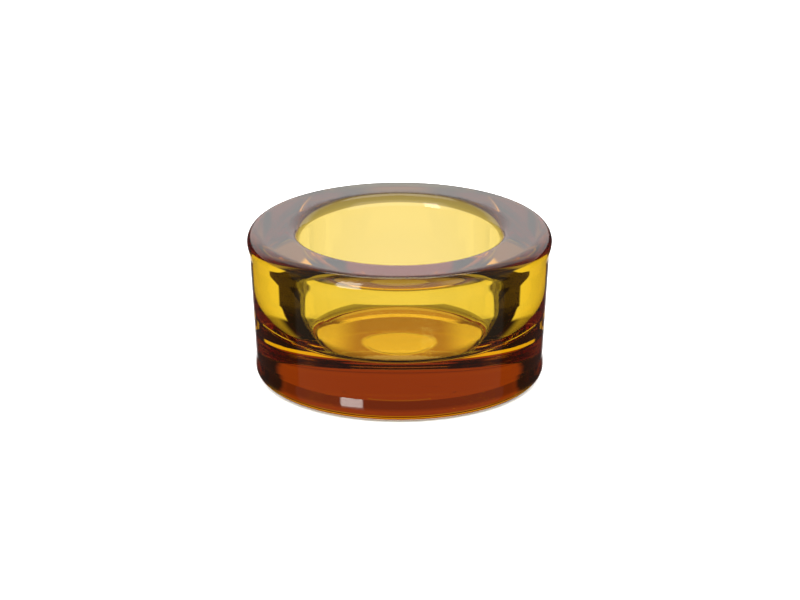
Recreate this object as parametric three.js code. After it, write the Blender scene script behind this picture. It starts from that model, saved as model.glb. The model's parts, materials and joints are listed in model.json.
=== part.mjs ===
// Tealight holder: a heavy round cup of pressed amber glass.
//
// The real object is one piece. Molten glass is pressed between a mould, which leaves the
// drafted outside, and a plunger, which leaves the cavity, and the rim and edges are then
// fire-polished round. So there is one solid here: one outline turned about +Z.
// Millimetres, +Z up, the origin at the centre of the foot.
import * as THREE from 'three';

// Outside
const RIM_RADIUS = 37.5; // widest point, on the rim
const HEIGHT = 37.7; // foot to the flat top of the rim
const RIM_ROUNDING = 3; // outer top edge
const LIP_SWELL = 0.65; // how far the rim stands out beyond the top of the wall
const LIP_TOP_DEPTH = 3.6; // below the rim, where the swell reaches the full radius
const LIP_FOOT_DEPTH = 6.2; // below the rim, where the swell starts
const LIP_ROUNDING = 4.3; // both bends of the swell
const WALL_DRAFT = 3.2; // degrees that the outer wall leans outwards
const BEAD_SWELL = 0.25; // mould bead round the foot, standing out from the wall
const BEAD_TOP = 3.7; // height where the bead is widest
const BEAD_SLOPE = 2.1; // height of the bead's sloping upper edge
const BEAD_ROUNDING = 1.2;
const FOOT_ROUNDING = 2.9; // outer bottom edge

// Cavity that the candle cup stands in
const MOUTH_RADIUS = 24.6; // where the cavity wall would meet the plane of the rim
const MOUTH_ROUNDING = 3.4; // inner top edge
const CAVITY_DRAFT = 1; // degrees that the upper cavity wall leans outwards
const FLOOR_HEIGHT = 12.4; // solid glass under the cavity
const BEND_HEIGHT = 6.2; // from the floor up to the bend in the cavity wall
const BEND_ROUNDING = 28;
const FLOOR_INSET = 1.7; // how far the wall comes in below the bend
const FLOOR_ROUNDING = 2.2; // cavity wall to cavity floor

// Fineness of the turned surface
const SIDES = 72; // around the axis
const ARC_STEP = 15; // degrees turned by one step of a rounding
const LEAST_STEPS = 2; // in the flattest rounding
const LEG_SHARE = 0.98; // most of a straight that the roundings at its two ends may take up

const GLASS_COLOUR = 0xe0a526;
const GLASS_ROUGHNESS = 0.03;

const radians = THREE.MathUtils.degToRad;

/** The corners of the outline as [radius, height, rounding], from the axis out and back. */
function corners() {
  const lipFoot = HEIGHT - LIP_FOOT_DEPTH;
  const wallTopRadius = RIM_RADIUS - LIP_SWELL;
  const wallRadius = (height) => wallTopRadius - (lipFoot - height) * Math.tan(radians(WALL_DRAFT));
  const beadRadius = wallRadius(BEAD_TOP) + BEAD_SWELL;
  const beadEnd = BEAD_TOP + BEAD_SLOPE;
  const bend = FLOOR_HEIGHT + BEND_HEIGHT;
  const bendRadius = MOUTH_RADIUS - (HEIGHT - bend) * Math.tan(radians(CAVITY_DRAFT));
  return [
    [0, 0, 0],
    [beadRadius, 0, FOOT_ROUNDING],
    [beadRadius, BEAD_TOP, BEAD_ROUNDING],
    [wallRadius(beadEnd), beadEnd, BEAD_ROUNDING],
    [wallTopRadius, lipFoot, LIP_ROUNDING],
    [RIM_RADIUS, HEIGHT - LIP_TOP_DEPTH, LIP_ROUNDING],
    [RIM_RADIUS, HEIGHT, RIM_ROUNDING],
    [MOUTH_RADIUS, HEIGHT, MOUTH_ROUNDING],
    [bendRadius, bend, BEND_ROUNDING],
    [bendRadius - FLOOR_INSET, FLOOR_HEIGHT, FLOOR_ROUNDING],
    [0, FLOOR_HEIGHT, 0],
  ];
}

/** Half the angle between the two straights that meet at a corner. */
function halfAngle(before, corner, after) {
  return before.clone().sub(corner).angleTo(after.clone().sub(corner)) / 2;
}

/** The arc that touches both straights of a corner at one distance, its reach, from it. */
function roundedCorner(before, corner, after, reach) {
  const half = halfAngle(before, corner, after);
  const radius = reach * Math.tan(half);
  const back = before.clone().sub(corner).normalize();
  const ahead = after.clone().sub(corner).normalize();
  const middle = back.clone().add(ahead).setLength(radius / Math.sin(half));
  const centre = corner.clone().add(middle);
  const start = corner.clone().addScaledVector(back, reach).sub(centre);
  const turn = Math.sign(back.cross(ahead)) * -(Math.PI - 2 * half);
  const steps = Math.max(LEAST_STEPS, Math.ceil(Math.abs(turn) / radians(ARC_STEP)));
  const points = [];
  for (let i = 0; i <= steps; i += 1) {
    points.push(start.clone().rotateAround(new THREE.Vector2(), (turn * i) / steps).add(centre));
  }
  return points;
}

/**
 * The outline with its corners rounded. It starts and ends on the axis, so it closes.
 * Where a straight is too short for the roundings at its two ends, both become smaller.
 */
function outline() {
  const list = corners();
  const at = list.map(([radius, height]) => new THREE.Vector2(radius, height));
  const last = list.length - 1;
  const wanted = list.map(([, , rounding], i) => {
    if (i === 0 || i === last) return 0;
    return rounding / Math.tan(halfAngle(at[i - 1], at[i], at[i + 1]));
  });
  const room = (i) => {
    const length = at[i].distanceTo(at[i + 1]);
    return Math.min(1, (LEG_SHARE * length) / (wanted[i] + wanted[i + 1]));
  };
  const points = [at[0]];
  for (let i = 1; i < last; i += 1) {
    const reach = wanted[i] * Math.min(room(i - 1), room(i));
    points.push(...roundedCorner(at[i - 1], at[i], at[i + 1], reach));
  }
  points.push(at[last]);
  return points;
}

const cup = new THREE.LatheGeometry(outline(), SIDES);
cup.rotateX(Math.PI / 2); // LatheGeometry turns about +Y

const glass = new THREE.MeshStandardMaterial({
  color: GLASS_COLOUR,
  roughness: GLASS_ROUGHNESS,
  metalness: 0,
});

const glassCup = new THREE.Mesh(cup, glass);
glassCup.name = 'glass_cup';

const tealightHolder = new THREE.Group();
tealightHolder.add(glassCup);

export default tealightHolder;
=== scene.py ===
"""Tealight holder in amber pressed glass: how it looks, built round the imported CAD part.

Metres, +Z up, the origin at the centre of the foot, as in the frame.
"""

import json
import math

import bpy
import numpy as np
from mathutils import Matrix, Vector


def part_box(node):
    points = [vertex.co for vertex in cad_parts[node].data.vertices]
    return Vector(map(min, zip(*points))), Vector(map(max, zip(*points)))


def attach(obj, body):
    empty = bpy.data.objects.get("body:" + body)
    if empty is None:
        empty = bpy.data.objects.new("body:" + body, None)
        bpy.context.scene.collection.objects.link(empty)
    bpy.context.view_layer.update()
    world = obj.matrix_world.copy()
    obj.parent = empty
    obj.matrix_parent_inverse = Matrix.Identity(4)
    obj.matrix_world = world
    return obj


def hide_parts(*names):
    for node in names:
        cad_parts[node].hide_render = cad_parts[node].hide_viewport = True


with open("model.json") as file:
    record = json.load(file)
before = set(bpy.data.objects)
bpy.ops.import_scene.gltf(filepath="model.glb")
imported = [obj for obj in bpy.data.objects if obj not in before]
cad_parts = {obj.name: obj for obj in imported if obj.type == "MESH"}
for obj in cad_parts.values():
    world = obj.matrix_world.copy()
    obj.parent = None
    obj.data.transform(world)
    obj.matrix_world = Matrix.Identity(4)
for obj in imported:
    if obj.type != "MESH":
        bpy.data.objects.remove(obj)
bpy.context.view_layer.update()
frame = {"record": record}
scene = bpy.context.scene

# ---------------------------------------------------------------------------
# The glass cup
# One gather of clear amber glass, pressed between a mould and a plunger and then
# fire-polished, so every edge is round. It is solid apart from the cavity for the candle
# cup. The small waves and seeds of the real glass are left out.
# ---------------------------------------------------------------------------

# Everything starts from the CAD piece: its rim, its height and where its candle seat is.
low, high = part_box("glass_cup")
RIM = (high.x - low.x) / 2
TOP = high.z
SEAT = next(m for m in frame["record"]["mounts"] if m["name"] == "candle_seat")["pos_m"][2]

MM = 0.001
MARK = 9.0 * MM  # radius of a shallow round mark underneath, which is a guess
MARK_EDGE = 0.3 * MM  # width of its sloping edge
MARK_DEPTH = 0.04 * MM
MARK_ROUNDING = 0.5 * MM
FOOT_ROUNDING = 2.9 * MM  # outer bottom edge
BEAD = RIM - 1.95 * MM  # radius of the mould bead round the foot
BEAD_TOP = 3.7 * MM  # height where the bead is widest
BEAD_END = 5.8 * MM  # height where the bead has run out into the wall
BEAD_ROUNDING = 1.2 * MM
WALL_FOOT = RIM - 2.08 * MM  # outside, above the bead
WALL_TOP = RIM - 0.65 * MM  # outside, under the lip
LIP_FOOT_DEPTH = 6.2 * MM  # below the rim, where the lip starts to swell
LIP_FOOT_ROUNDING = 8 * MM
LIP_TOP_DEPTH = 3.6 * MM  # below the rim, where the lip reaches the full radius
LIP_TOP_ROUNDING = 4 * MM
RIM_ROUNDING = 3.0 * MM  # outer top edge
MOUTH = 24.6 * MM  # radius of the cavity at the plane of the rim
MOUTH_ROUNDING = 3.4 * MM
BEND = 18.6 * MM  # height where the cavity wall bends in
BEND_INSET = 0.33 * MM  # how much narrower than the mouth the cavity is there
BEND_ROUNDING = 28.0 * MM
SEAT_RADIUS = 22.57 * MM  # where the cavity wall would meet the cavity floor
SEAT_ROUNDING = 2.2 * MM

# The outline as corners (radius, height, rounding), from the axis out and back to it.
outline_corners = np.array(
    [
        (0, MARK_DEPTH, 0),
        (MARK - MARK_EDGE, MARK_DEPTH, MARK_ROUNDING),
        (MARK, 0, MARK_ROUNDING),
        (BEAD, 0, FOOT_ROUNDING),
        (BEAD, BEAD_TOP, BEAD_ROUNDING),
        (WALL_FOOT, BEAD_END, BEAD_ROUNDING),
        (WALL_TOP, TOP - LIP_FOOT_DEPTH, LIP_FOOT_ROUNDING),
        (RIM, TOP - LIP_TOP_DEPTH, LIP_TOP_ROUNDING),
        (RIM, TOP, RIM_ROUNDING),
        (MOUTH, TOP, MOUTH_ROUNDING),
        (MOUTH - BEND_INSET, BEND, BEND_ROUNDING),
        (SEAT_RADIUS, SEAT, SEAT_ROUNDING),
        (0, SEAT, 0),
    ]
)
FINE = 0.6 * MM  # longest step along a straight of the outline
BESIDE_ARC = 0.05 * MM  # short step at each end of a long straight, so shading stays crisp there
ARC_STEP = math.radians(4)
LEAST_STEPS = 3  # in the flattest rounding
LEG_SHARE = 0.98  # most of a straight that one rounding may take up
AROUND = 288


def rounded_outline(corners):
    """The outline with each corner replaced by the circle arc that touches both its legs,
    and the straights cut into steps no longer than FINE, with a short step beside each arc."""
    bends = [np.array([corners[0, :2]])]
    for before, (x, z, radius), after in zip(corners[:-2], corners[1:-1], corners[2:]):
        corner = np.array((x, z))
        back, ahead = before[:2] - corner, after[:2] - corner
        longest = LEG_SHARE * min(np.hypot(*back), np.hypot(*ahead))
        back, ahead = back / np.hypot(*back), ahead / np.hypot(*ahead)
        half = math.acos(np.clip(back @ ahead, -1, 1)) / 2
        reach = min(radius / math.tan(half), longest)
        radius = reach * math.tan(half)
        middle = (back + ahead) / np.hypot(*(back + ahead))
        centre = corner + middle * radius / math.sin(half)
        start = corner + back * reach - centre
        turn = (math.pi - 2 * half) * -np.sign(back[0] * ahead[1] - back[1] * ahead[0])
        steps = max(LEAST_STEPS, math.ceil(abs(turn) / ARC_STEP))
        a = np.linspace(0, turn, steps + 1)
        bends.append(
            centre
            + np.stack(
                (
                    start[0] * np.cos(a) - start[1] * np.sin(a),
                    start[0] * np.sin(a) + start[1] * np.cos(a),
                ),
                axis=1,
            )
        )
    bends.append(np.array([corners[-1, :2]]))
    points = [bends[0]]
    for last, arc in zip(bends[:-1], bends[1:]):
        gap = arc[0] - last[-1]
        length = np.hypot(*gap)
        count = max(1, math.ceil(length / FINE))
        share = np.linspace(0, 1, count + 1)[1:-1]
        if length > 4 * FINE:
            share = np.concatenate(([BESIDE_ARC / length], share, [1 - BESIDE_ARC / length]))
        points.append(last[-1] + share[:, None] * gap)
        points.append(arc)
    return np.concatenate(points)


profile = rounded_outline(outline_corners)
rings = profile[1:-1]
angle = np.arange(AROUND) * 2 * math.pi / AROUND

radius = rings[:, 0][:, None] * np.ones(AROUND)
x = radius * np.cos(angle)
y = radius * np.sin(angle)
z = rings[:, 1][:, None] * np.ones(AROUND)

ring_points = np.stack((x, y, z), axis=2).reshape(-1, 3)
ends = np.array([(0, 0, profile[0, 1]), (0, 0, profile[-1, 1])])
points = np.concatenate((ring_points, ends))

ring, step = np.meshgrid(np.arange(len(rings) - 1), np.arange(AROUND), indexing="ij")
here = ring * AROUND + step
beside = ring * AROUND + (step + 1) % AROUND
quads = np.stack((here, beside, beside + AROUND, here + AROUND), axis=2).reshape(-1, 4)
k = np.arange(AROUND)
under_pole, floor_pole = len(ring_points), len(ring_points) + 1
last_ring = (len(rings) - 1) * AROUND
under_fan = np.stack((np.full(AROUND, under_pole), (k + 1) % AROUND, k), axis=1)
floor_fan = np.stack(
    (last_ring + k, last_ring + (k + 1) % AROUND, np.full(AROUND, floor_pole)), axis=1
)

cup_mesh = bpy.data.meshes.new("glass_cup_clear")
faces = quads.tolist() + under_fan.tolist() + floor_fan.tolist()
cup_mesh.from_pydata(points.tolist(), [], faces)
cup_mesh.polygons.foreach_set("use_smooth", np.ones(len(faces), bool))
cup_mesh.update()
cup = bpy.data.objects.new("glass_cup_clear", cup_mesh)
scene.collection.objects.link(cup)

glass = bpy.data.materials.new("amber_glass")
glass.use_nodes = True
tree = glass.node_tree
surface = tree.nodes["Principled BSDF"]
surface.inputs["Base Color"].default_value = (1, 1, 1, 1)
surface.inputs["Metallic"].default_value = 0
surface.inputs["Roughness"].default_value = 0
surface.inputs["IOR"].default_value = 1.52
surface.inputs["Transmission Weight"].default_value = 1
tint = tree.nodes.new("ShaderNodeVolumeAbsorption")
tint.inputs["Color"].default_value = (0.975, 0.8875, 0.04, 1)
tint.inputs["Density"].default_value = 120
tree.links.new(tint.outputs["Volume"], tree.nodes["Material Output"].inputs["Volume"])
cup_mesh.materials.append(glass)

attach(cup, "root")
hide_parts("glass_cup")

# ---------------------------------------------------------------------------
# The floor
# A sheet of white card. Rays that come through the glass see it as clear, and where the cup
# covers it they see it tinted by place: a painted stand-in for the light that
# the cup throws under itself, which the renderer is not left to work out.
# ---------------------------------------------------------------------------

DROP = 0.02 * MM  # how far the card lies below the foot, so that the two don't touch
FOOT = WALL_FOOT - 1.0 * MM  # radius of the part of the card that the cup covers
# The colours below are painted light and shade that the cup throws on the card: a painted pool of
# light in the middle, painted shade in the crescents, the far ring and the outer part, and a
# painted bright line inside the far ring.
POOL = (1.02, 0.855, 0.60)  # bright middle, and all that is not named below
SHADE = (0.56, 0.36, 0.25)  # crescents beside the middle
SHADE_FROM, SHADE_TO, SHADE_REACH = 9.5 * MM, 23.3 * MM, 14 * MM  # radii, and out to each side
FAR_RING = (0.69, 0.50, 0.36)  # outer ring on the far side
FAR_RING_FROM = 25.7 * MM
FAR_LINE = (1.28, 1.06, 0.80)  # bright line inside that ring
FAR_LINE_FROM, FAR_LINE_TO = 23.5 * MM, 25.5 * MM
FAR_SIDE_FROM, FAR_SIDE_REACH = 19 * MM, 17 * MM  # behind the axis, and out to each side
OUTSKIRT = (0.24, 0.16, 0.10)  # the rest of the outer part
OUTSKIRT_FROM = 24.5 * MM
BEYOND = 1  # metres, farther than the card is covered

bpy.ops.mesh.primitive_plane_add(size=30, location=(0, 0, -DROP))
floor = bpy.context.object
floor.name = "floor"
floor.visible_glossy = False
card = bpy.data.materials.new("floor_card")
card.use_nodes = True
tree = card.node_tree
tree.nodes.clear()


def math_node(operation, a, b=0.0):
    """One sum in the present tree."""
    n = tree.nodes.new("ShaderNodeMath")
    n.operation = operation
    for socket, value in zip(n.inputs, (a, b)):
        if isinstance(value, (int, float)):
            socket.default_value = value
        else:
            tree.links.new(value, socket)
    return n.outputs[0]


def step_up(value, start, end):
    """0 below start, 1 above end, smooth between."""
    n = tree.nodes.new("ShaderNodeMapRange")
    n.interpolation_type = "SMOOTHSTEP"
    n.inputs["From Min"].default_value = start
    n.inputs["From Max"].default_value = end
    tree.links.new(value, n.inputs["Value"])
    return n.outputs["Result"]


def window(value, low, high, soft):
    """1 from low to high, 0 outside, over a width of soft at each end."""
    up = step_up(value, low - soft / 2, low + soft / 2)
    down = step_up(value, high - soft / 2, high + soft / 2)
    return math_node("SUBTRACT", up, down)


def less(value):
    """What is left of 1."""
    return math_node("SUBTRACT", 1.0, value)


def mix(share, a, b):
    """Colour a where share is 0, b where it is 1."""
    n = tree.nodes.new("ShaderNodeMix")
    n.data_type = "RGBA"
    n.clamp_factor = True
    for socket, value in ((n.inputs[0], share), (n.inputs[6], a), (n.inputs[7], b)):
        if isinstance(value, tuple):
            socket.default_value = (*value, 1)
        elif isinstance(value, (int, float)):
            socket.default_value = value
        else:
            tree.links.new(value, socket)
    return n.outputs[2]


place = tree.nodes.new("ShaderNodeTexCoord")
axes = tree.nodes.new("ShaderNodeSeparateXYZ")
tree.links.new(place.outputs["Object"], axes.inputs[0])
across = math_node("ABSOLUTE", axes.outputs[0])
along = axes.outputs[1]
squares = math_node(
    "ADD", math_node("MULTIPLY", across, across), math_node("MULTIPLY", along, along)
)
from_axis = math_node("SQRT", squares)
crescents = math_node(
    "MULTIPLY",
    window(from_axis, SHADE_FROM, SHADE_TO, 1.4 * MM),
    window(across, -BEYOND, SHADE_REACH, 9 * MM),
)
far_side = math_node(
    "MULTIPLY",
    window(across, -BEYOND, FAR_SIDE_REACH, 4 * MM),
    window(along, FAR_SIDE_FROM, BEYOND, 3 * MM),
)
far_ring = math_node(
    "MULTIPLY", window(from_axis, FAR_RING_FROM, BEYOND, 1.0 * MM), far_side
)
far_line = math_node(
    "MULTIPLY", window(from_axis, FAR_LINE_FROM, FAR_LINE_TO, 0.9 * MM), far_side
)
outskirt = math_node(
    "MULTIPLY", window(from_axis, OUTSKIRT_FROM, BEYOND, 1.5 * MM), less(far_side)
)
# The painted light and shade under the cup, laid over one another.
tint = mix(crescents, POOL, SHADE)
tint = mix(far_ring, tint, FAR_RING)
tint = mix(far_line, tint, FAR_LINE)
tint = mix(outskirt, tint, OUTSKIRT)
# Under the cup the card passes the studio's light through that painted light and shade; elsewhere
# it is clear.
clear = tree.nodes.new("ShaderNodeBsdfTransparent")
glow = tree.nodes.new("ShaderNodeBsdfTransparent")
tree.links.new(tint, glow.inputs["Color"])
white = tree.nodes.new("ShaderNodeBsdfDiffuse")
white.inputs["Color"].default_value = (0.9, 0.9, 0.9, 1)
under = tree.nodes.new("ShaderNodeMixShader")
tree.links.new(math_node("LESS_THAN", from_axis, FOOT), under.inputs[0])
tree.links.new(clear.outputs[0], under.inputs[1])
tree.links.new(glow.outputs[0], under.inputs[2])
card_path = tree.nodes.new("ShaderNodeLightPath")
either = tree.nodes.new("ShaderNodeMixShader")
tree.links.new(card_path.outputs["Is Transmission Ray"], either.inputs[0])
tree.links.new(white.outputs[0], either.inputs[1])
tree.links.new(under.outputs[0], either.inputs[2])
card_out = tree.nodes.new("ShaderNodeOutputMaterial")
tree.links.new(either.outputs[0], card_out.inputs["Surface"])
floor.data.materials.append(card)

# ---------------------------------------------------------------------------
# The studio
# A soft studio by direction alone, fixed to the room: white behind and below, black cards at
# both sides for the dark edges that glass is shown with, and one small soft box. It is a
# stage, not one real room: rays through the glass and rays mirrored by it meet other cards.
# ---------------------------------------------------------------------------

studio = bpy.data.worlds.new("studio")
scene.world = studio
studio.use_nodes = True
tree = studio.node_tree
tree.nodes.clear()


def ramp(value, stops):
    """Colour by an angle from -90 to 90: stops are (degrees, colour)."""
    n = tree.nodes.new("ShaderNodeValToRGB")
    n.color_ramp.interpolation = "LINEAR"
    tree.links.new(math_node("ADD", math_node("DIVIDE", value, 180.0), 0.5), n.inputs["Fac"])
    e = n.color_ramp.elements
    while len(e) > 1:
        e.remove(e[-1])
    for i, (deg, colour) in enumerate(stops):
        s = e[0] if i == 0 else e.new(deg / 180 + 0.5)
        s.position = deg / 180 + 0.5
        s.color = (*colour, 1)
    return n.outputs["Color"]


where = tree.nodes.new("ShaderNodeTexCoord")
split = tree.nodes.new("ShaderNodeSeparateXYZ")
tree.links.new(where.outputs["Generated"], split.inputs[0])
dx, dy, dz = split.outputs
height = math_node("MULTIPLY", math_node("ARCSINE", dz), 180 / math.pi)
turn = math_node("MULTIPLY", math_node("ARCTAN2", dx, dy), 180 / math.pi)  # 0 straight behind
aside = math_node("ABSOLUTE", turn)
nearer = math_node("MINIMUM", aside, math_node("SUBTRACT", 180.0, aside))
near_half = step_up(aside, 88, 92)  # the half of the room that the camera is in
# degrees from the middle of the nearest white opening: behind, in front, left or right
sideways = step_up(nearer, 75, 77)
off = math_node(
    "ADD",
    math_node("MULTIPLY", nearer, less(sideways)),
    math_node("MULTIPLY", math_node("SUBTRACT", 90.0, nearer), sideways),
)

# What the glass shows through itself: white openings, above them amber cards that add to the
# red of the base, and dull card elsewhere. All angles are degrees.
AMBER_CARD = (0.34, 0.085, 0.02)
DIM_AMBER_CARD = (0.19, 0.045, 0.015)
BLACK_CARD = (0.012, 0.008, 0.008)
WHITE_BEHIND = (1.08, 0.96, 1.12)
WHITE_NEAR = (0.50, 0.45, 0.50)  # the openings at the sides and in the near half
SIDE_DIMMING, NEAR_RETURN = 0.75, 0.15  # of the amber cards, off to the side and in the near half
LOW_EDGE = -30.0  # height of an opening's lower edge
NEAR_LIFT = 6.0  # how much higher that edge is in the near half
HALF_OPENING = 38.5  # from an opening's middle to its side, low down
TAPER = 16.0  # how much narrower it gets upwards
WIDENING = 27.0  # how much wider it then gets near the horizon
low_edge = math_node("ADD", math_node("MULTIPLY", near_half, NEAR_LIFT), LOW_EDGE)
over_edge = step_up(math_node("SUBTRACT", height, low_edge), -2, 2)
taper = math_node("MULTIPLY", step_up(height, -22, -6), TAPER)
widening = math_node("MULTIPLY", step_up(height, -7.5, -5.5), WIDENING)
side_edge = math_node("ADD", math_node("SUBTRACT", HALF_OPENING, taper), widening)
open_side = less(step_up(math_node("SUBTRACT", off, side_edge), -2, 2))
white_share = math_node(
    "MULTIPLY", math_node("MULTIPLY", over_edge, open_side), less(step_up(height, 4, 8))
)
slot = math_node("MULTIPLY", window(off, 41, 57, 3), window(height, -7.5, 7, 2))
white_share = math_node("MAXIMUM", white_share, slot)
before_black = less(step_up(off, 44, 51))
lit_half = less(math_node("MULTIPLY", step_up(aside, 60, 80), SIDE_DIMMING))
brighter = math_node("MULTIPLY", step_up(aside, 130, 150), NEAR_RETURN)
lit_half = math_node("ADD", lit_half, brighter)
glow_share = math_node(
    "MULTIPLY", math_node("MULTIPLY", window(height, 7, 56, 4), before_black), lit_half
)
faint_share = math_node("MULTIPLY", window(height, 23.2, 27, 1.5), glow_share)
dull = ramp(
    height,
    [
        (-90, (0.08, 0.06, 0.05)),
        (-75, (0.10, 0.08, 0.07)),
        (-66, (0.24, 0.19, 0.16)),
        (-60, (0.38, 0.30, 0.28)),
        (-40, (0.42, 0.36, 0.34)),
        (-33, (0.50, 0.42, 0.36)),
        (-20, (0.20, 0.14, 0.10)),
        (5, (0.04, 0.02, 0.01)),
        (90, (0.04, 0.02, 0.01)),
    ],
)
turned_dark = math_node("MULTIPLY", step_up(off, 12, 36), window(height, -62, 90, 10))
dull = mix(math_node("MAXIMUM", turned_dark, near_half), dull, BLACK_CARD)
through = mix(glow_share, dull, AMBER_CARD)
through = mix(faint_share, through, DIM_AMBER_CARD)
opening = mix(step_up(aside, 60, 120), WHITE_BEHIND, WHITE_NEAR)
through = mix(white_share, through, opening)

# What the glass mirrors: a grey to white sweep by height, a bright card overhead, a darker
# card at each side, the table, and the soft box
OVERHEAD_CARD = (2.60, 2.50, 2.40)
SIDE_CARD = (0.25, 0.25, 0.25)
UNLIT = (0.05, 0.04, 0.04)  # below the horizon, where no table shows
NEAR_TABLE = (0.16, 0.15, 0.15)
FAR_TABLE = (0.95, 0.95, 0.95)
SOFT_BOX = (8.0, 7.8, 7.4)
sweep = ramp(
    height,
    [
        (-2, (0.0, 0.0, 0.0)),
        (5, (1.10, 1.06, 1.03)),
        (13, (1.25, 1.22, 1.20)),
        (19, (1.42, 1.42, 1.40)),
        (33, (1.70, 1.72, 1.70)),
        (50, (1.20, 1.20, 1.20)),
        (56, (0.30, 0.30, 0.30)),
        (90, (0.30, 0.30, 0.30)),
    ],
)
overhead = math_node("MULTIPLY", window(height, 60, 82, 5), less(near_half))
sweep = mix(overhead, sweep, OVERHEAD_CARD)
table_height = window(height, -60, -2, 6)
table = math_node("MULTIPLY", window(nearer, -10, 14, 14), table_height)
table = math_node("MULTIPLY", table, less(near_half))
mirrored = mix(window(nearer, 60, 200, 20), sweep, SIDE_CARD)
mirrored = mix(step_up(height, -6, 2), UNLIT, mirrored)
near_table = math_node("MULTIPLY", near_half, table_height)
mirrored = mix(near_table, mirrored, NEAR_TABLE)
mirrored = mix(table, mirrored, FAR_TABLE)
soft_box = math_node("MULTIPLY", window(turn, -151, -133, 3), window(height, -20, 36, 5))
mirrored = mix(soft_box, mirrored, SOFT_BOX)

# The camera itself sees plain white, and the floor card is lit by plain white light.
SEEN_BARE, LIGHT_ON_CARD = (1.0, 1.0, 1.0), (4.0, 4.0, 4.0)
light_path = tree.nodes.new("ShaderNodeLightPath")
seen = mix(light_path.outputs["Is Transmission Ray"], mirrored, through)
to_card = light_path.outputs["Is Diffuse Ray"]
plain = mix(to_card, SEEN_BARE, LIGHT_ON_CARD)
bare = math_node("MAXIMUM", light_path.outputs["Is Camera Ray"], to_card)
background = tree.nodes.new("ShaderNodeBackground")
tree.links.new(mix(bare, seen, plain), background.inputs["Color"])
output = tree.nodes.new("ShaderNodeOutputWorld")
tree.links.new(background.outputs[0], output.inputs["Surface"])

# ---------------------------------------------------------------------------
# Camera and picture settings
# ---------------------------------------------------------------------------

DISTANCE = 1.2  # metres from the middle of the cup
ELEVATION = math.radians(20.0)
BOUNCES = 24  # enough for light that turns round inside the glass
target = np.array((0, 0, TOP / 2))
camera_data = bpy.data.cameras.new("camera")
camera = bpy.data.objects.new("camera", camera_data)
scene.collection.objects.link(camera)
camera.location = target + DISTANCE * np.array((0, -math.cos(ELEVATION), math.sin(ELEVATION)))
camera.rotation_euler = (math.pi / 2 - ELEVATION, 0, 0)
camera_data.lens = 219.0
camera_data.sensor_width = 36
camera_data.shift_x = 0.0006
camera_data.clip_end = 20
camera_data.dof.use_dof = False
scene.camera = camera

scene.view_settings.view_transform = "Standard"
scene.view_settings.look = "None"
scene.cycles.max_bounces = BOUNCES
scene.cycles.transmission_bounces = BOUNCES
scene.cycles.glossy_bounces = BOUNCES
scene.cycles.use_denoising = True
